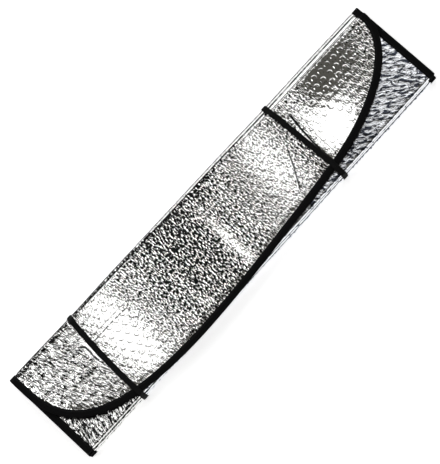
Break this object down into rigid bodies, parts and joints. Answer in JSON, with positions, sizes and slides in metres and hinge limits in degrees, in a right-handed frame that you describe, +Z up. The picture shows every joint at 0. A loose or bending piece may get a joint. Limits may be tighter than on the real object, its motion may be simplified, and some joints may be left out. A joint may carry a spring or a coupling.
{
  "type": "windscreen sunshade",
  "caption": "Silver bubble-foil windscreen sunshade with a black bound edge, folded like a concertina and held by two black elastic bands.",
  "frame": {"origin": "on the resting plane, under the middle of the folded pack", "axes": "+X along the height of the shade, from its lower bound edge to its upper one; +Y across the panels, from the curved free edge to the fold of the top panel; +Z up, through the stack of panels"},
  "size_m": [0.6012, 0.135, 0.0337],
  "materials": {
    "foil": "bright crinkled foil over bubble film",
    "tape": "woven black tape",
    "elastic": "black ribbed elastic"
  },
  "bodies": {
    "root": {"foil_sheet": "foil", "edge_binding": "tape", "lower_band": "elastic", "upper_band": "elastic"}
  },
  "joints": []
}
